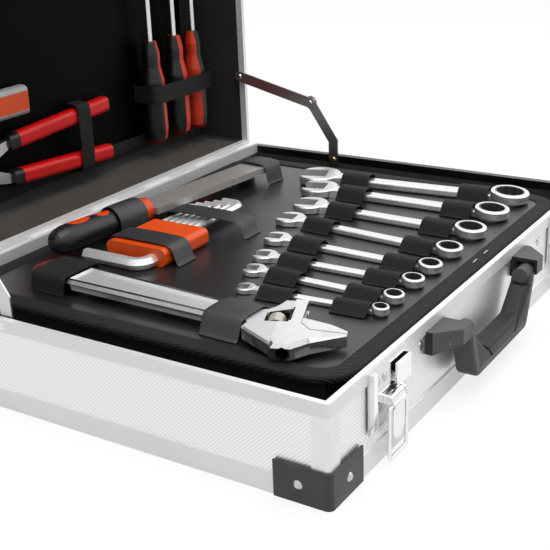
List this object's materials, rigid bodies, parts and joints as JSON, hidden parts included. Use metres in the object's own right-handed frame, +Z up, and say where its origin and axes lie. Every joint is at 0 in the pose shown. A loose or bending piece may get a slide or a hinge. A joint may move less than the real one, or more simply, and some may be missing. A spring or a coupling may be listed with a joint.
{
  "type": "aluminium tool case",
  "caption": "Open aluminium-framed case with hinged lid, folding stays, draw latches, carrying handle and a lift-out pallet of strapped hand tools",
  "frame": {"origin": "centre of the flat underside the case rests on", "axes": "+X along the width to the right seen from the front, +Y from front to the hinge, +Z up"},
  "size_m": [0.4936, 0.4651, 0.4479],
  "materials": {
    "panel": "bright aluminium with a fine diagonal line emboss",
    "profile": "smooth satin anodised extrusion",
    "corner_cap": "moulded dark grey plastic",
    "lining": "dark grey-brown felt lining",
    "rivet": "plated steel",
    "batten": "dark stained batten",
    "hinge_steel": "bright rolled strip",
    "stay_steel": "zinc plated strip",
    "latch_plating": "bright plated pressed steel",
    "handle_shell": "mid grey moulded plastic",
    "handle_rubber": "dark soft grip",
    "board": "dark grey satin board",
    "binding": "black ribbed binding tape",
    "wire": "bright steel wire",
    "tool_chrome": "satin chrome plate",
    "tool_steel": "plated tool steel",
    "elastic": "black ribbed elastic",
    "strap_rubber": "dark grey rubberised webbing",
    "holder_plastic": "orange moulded plastic",
    "file_steel": "cross cut file steel",
    "file_grip": "black plastic with orange inlays",
    "pliers_grip": "red dipped sleeve with black neck",
    "knife_plastic": "orange plastic with grey ends",
    "driver_grip": "black plastic with red stripes"
  },
  "bodies": {
    "base": {"base_wall_panels": "panel", "base_floor_panel": "panel", "base_rim": "profile", "base_bottom_profiles": "profile", "base_corner_posts": "profile", "base_corner_caps": "corner_cap", "base_lining": "lining", "base_rivets": "rivet", "pallet_supports": "batten", "hinge_base_leaf": "hinge_steel", "hinge_pin": "rivet", "stay_base_pivots": "rivet", "latch_plates": "latch_plating", "latch_pivot_pins": "latch_plating", "handle_brackets": "handle_shell", "handle_pivot_pins": "rivet"},
    "lid": {"lid_wall_panels": "panel", "lid_top_panel": "panel", "lid_rim": "profile", "lid_top_profiles": "profile", "lid_corner_posts": "profile", "lid_corner_caps": "corner_cap", "lid_lining": "lining", "lid_rivets": "rivet", "hinge_lid_leaf": "hinge_steel", "stay_lid_pivots": "rivet", "lid_catches": "latch_plating", "lid_board": "board", "lid_board_binding": "binding", "lid_straps": "elastic", "pliers_steel": "tool_steel", "pliers_grips": "pliers_grip", "knife_body": "knife_plastic", "screwdriver_handles": "driver_grip", "screwdriver_shafts": "tool_steel"},
    "lower_stay_right": {"stay_lower_right": "stay_steel"},
    "upper_stay_right": {"stay_upper_right": "stay_steel"},
    "lever_right": {"latch_lever_right": "latch_plating"},
    "bail_right": {"latch_bail_right": "latch_plating"},
    "lower_stay_left": {"stay_lower_left": "stay_steel"},
    "upper_stay_left": {"stay_upper_left": "stay_steel"},
    "lever_left": {"latch_lever_left": "latch_plating"},
    "bail_left": {"latch_bail_left": "latch_plating"},
    "handle": {"handle_core": "handle_shell", "handle_grip": "handle_rubber"},
    "pallet": {"pallet_board": "board", "pallet_binding": "binding", "pallet_staples": "wire", "combination_wrenches": "tool_chrome", "elastic_loops": "elastic", "rubber_straps": "strap_rubber", "hex_key_holder": "holder_plastic", "hex_keys": "tool_steel", "file_blade": "file_steel", "file_handle": "file_grip", "adjustable_wrench_body": "tool_chrome", "adjustable_wrench_worm_pin": "tool_steel"},
    "jaw": {"adjustable_wrench_jaw": "tool_chrome"},
    "worm": {"adjustable_wrench_worm": "tool_steel"}
  },
  "joints": [
    {"name": "lid_hinge", "type": "hinge", "parent": "base", "child": "lid", "pos_m": [0, 0.1866, 0.068], "axis": [-1, 0, 0], "range_deg": [-90, 0]},
    {"name": "stay_lower_right", "type": "hinge", "parent": "base", "child": "lower_stay_right", "pos_m": [0.2375, 0.082, 0.067], "axis": [-1, 0, 0], "range_deg": [-111, 0]},
    {"name": "stay_upper_right", "type": "hinge", "parent": "lid", "child": "upper_stay_right", "pos_m": [0.2356, 0.1956, 0.1466], "axis": [-1, 0, 0], "range_deg": [0, 102.5]},
    {"name": "stay_lower_left", "type": "hinge", "parent": "base", "child": "lower_stay_left", "pos_m": [-0.2375, 0.082, 0.067], "axis": [-1, 0, 0], "range_deg": [-111, 0]},
    {"name": "stay_upper_left", "type": "hinge", "parent": "lid", "child": "upper_stay_left", "pos_m": [-0.2356, 0.1956, 0.1466], "axis": [-1, 0, 0], "range_deg": [0, 102.5]},
    {"name": "latch_lever_right", "type": "hinge", "parent": "base", "child": "lever_right", "pos_m": [0.165, -0.1888, 0.045], "axis": [-1, 0, 0], "range_deg": [0, 100]},
    {"name": "latch_bail_right", "type": "hinge", "parent": "lever_right", "child": "bail_right", "pos_m": [0.165, -0.1905, 0.04], "axis": [1, 0, 0], "range_deg": [-180, 0]},
    {"name": "latch_lever_left", "type": "hinge", "parent": "base", "child": "lever_left", "pos_m": [-0.165, -0.1888, 0.045], "axis": [-1, 0, 0], "range_deg": [0, 100]},
    {"name": "latch_bail_left", "type": "hinge", "parent": "lever_left", "child": "bail_left", "pos_m": [-0.165, -0.1905, 0.04], "axis": [1, 0, 0], "range_deg": [-180, 0]},
    {"name": "handle_pivot", "type": "hinge", "parent": "base", "child": "handle", "pos_m": [-0.013, -0.196, 0.055], "axis": [-1, 0, 0], "range_deg": [0, 95]},
    {"name": "pallet_lift", "type": "slide", "parent": "base", "child": "pallet", "axis": [0, 0, 1], "range_m": [0, 0.1]},
    {"name": "jaw_slide", "type": "slide", "parent": "pallet", "child": "jaw", "axis": [0.9239, 0.3827, 0], "range_m": [0, 0.02]},
    {"name": "worm_spin", "type": "hinge", "parent": "pallet", "child": "worm", "pos_m": [-0.16265, -0.0975, 0.0745], "axis": [0.9239, 0.3827, 0], "range_deg": [0, 2885]}
  ],
  "couplings": [
    {"joint": "stay_lower_right", "follows": "lid_hinge", "ratio": 1.2222},
    {"joint": "stay_upper_right", "follows": "lid_hinge", "ratio": -1.1128},
    {"joint": "stay_lower_left", "follows": "lid_hinge", "ratio": 1.2222},
    {"joint": "stay_upper_left", "follows": "lid_hinge", "ratio": -1.1128},
    {"joint": "worm_spin", "follows": "jaw_slide", "rad_per_m": 2513.3}
  ]
}
